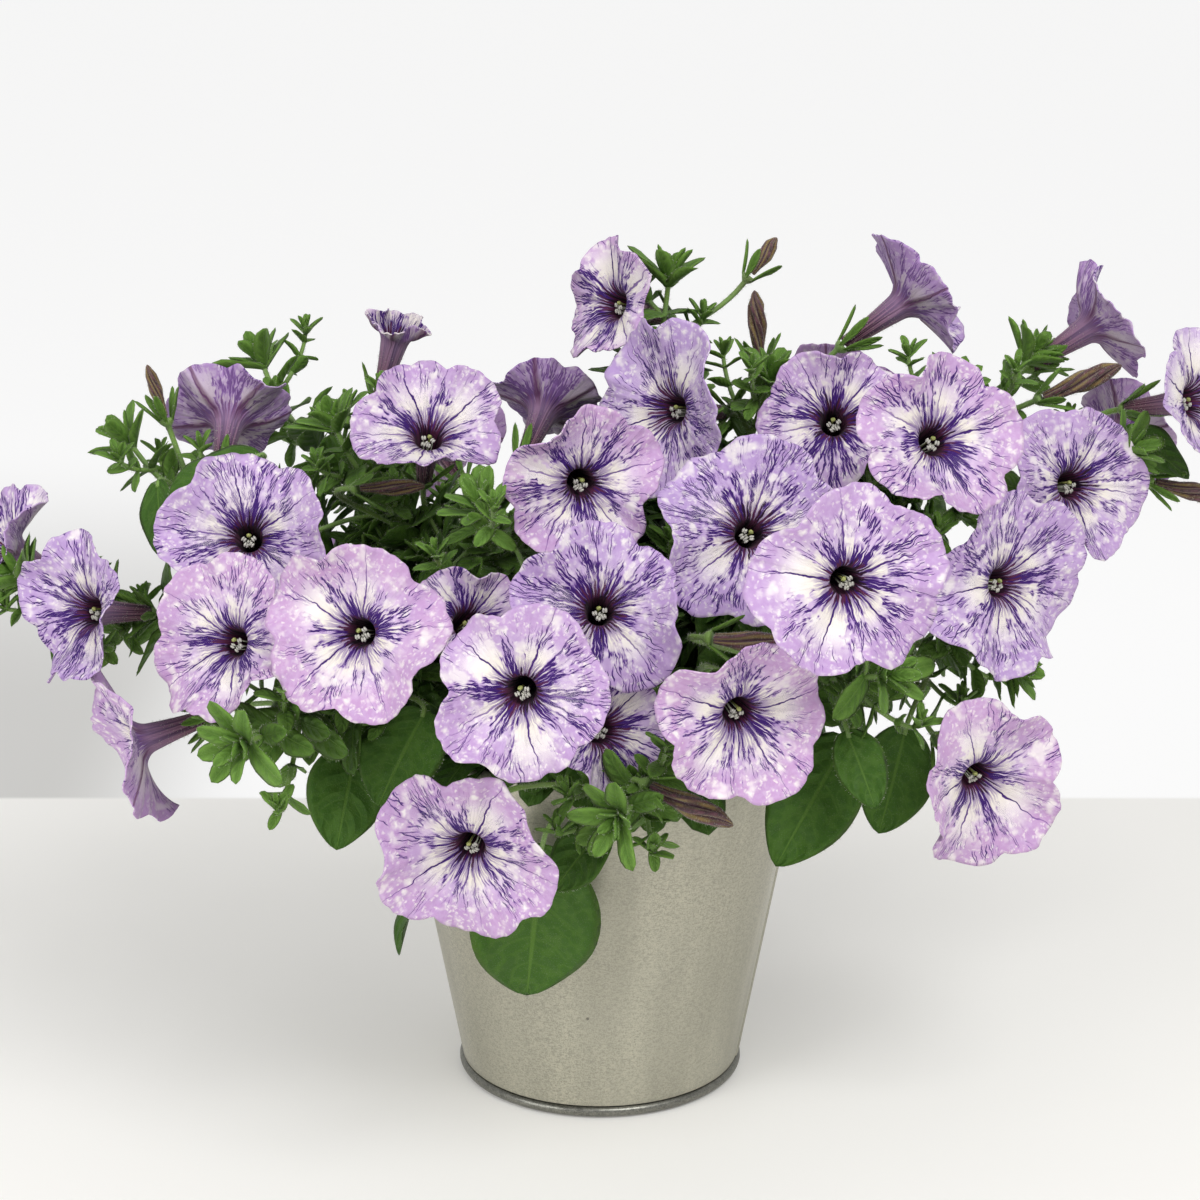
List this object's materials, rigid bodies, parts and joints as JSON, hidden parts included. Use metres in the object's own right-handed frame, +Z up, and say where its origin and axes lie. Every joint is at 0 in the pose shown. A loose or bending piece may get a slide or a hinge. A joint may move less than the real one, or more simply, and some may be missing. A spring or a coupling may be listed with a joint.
{
  "type": "potted petunia",
  "caption": "Mounded petunia with veined, star-marked lilac blooms and leafy stems in a plain tapered galvanised metal pot.",
  "frame": {"origin": "centre of the pot's underside, on the surface it stands on", "axes": "+Z up along the pot's axis, -Y to the front, +X to the right as seen from the front"},
  "size_m": [0.4747, 0.3198, 0.3115],
  "materials": {
    "galvanised_metal": "matte galvanised, fine speckle",
    "galvanised_bead": "worn satin",
    "soil": "moist crumbly potting soil",
    "petal": "soft matte petal, violet veins and white specks",
    "bud": "matte, twisted and slightly hairy",
    "foliage": "matte hairy leaf"
  },
  "bodies": {
    "root": {"pot_wall": "galvanised_metal", "pot_base": "galvanised_bead", "potting_soil": "soil", "bloom_far_left": "petal", "bloom_left_side": "petal", "bloom_left_low": "petal", "bloom_left_face": "petal", "bloom_left_upper": "petal", "bloom_left_back": "petal", "bloom_front_left": "petal", "bloom_top_left": "petal", "bloom_back_small": "petal", "bloom_back_top": "petal", "bloom_top_side": "petal", "bloom_top_front": "petal", "bloom_folded": "petal", "bloom_front_small": "petal", "bloom_front_low": "petal", "bloom_front_mid": "petal", "bloom_front_under": "petal", "bloom_right_face": "petal", "bloom_right_front": "petal", "bloom_right_upper": "petal", "bloom_right_upper_b": "petal", "bloom_right_back_up": "petal", "bloom_right_back": "petal", "bloom_far_right": "petal", "bloom_right_big": "petal", "bloom_right_behind": "petal", "bloom_front_right": "petal", "bloom_right_low": "petal", "bloom_low_front": "petal", "bloom_right_rear": "petal", "bloom_rear_left": "petal", "bloom_rear_mid": "petal", "bloom_rear_right": "petal", "bloom_rear_low": "petal", "bud_left_up": "bud", "bud_mid_left": "bud", "bud_top": "bud", "bud_top_right": "bud", "bud_right_back": "bud", "bud_far_right": "bud", "bud_front_right": "bud", "bud_low_front": "bud", "stem_far_left": "foliage", "stem_left_up": "foliage", "stem_low_left": "foliage", "stem_mid_left": "foliage", "stem_back_left": "foliage", "stem_top": "foliage", "stem_top_right": "foliage", "stem_front": "foliage", "stem_low_front": "foliage", "stem_right_front": "foliage", "stem_right": "foliage", "stem_far_right": "foliage", "stem_right_low": "foliage", "stem_right_back": "foliage", "stem_back": "foliage"}
  },
  "joints": []
}
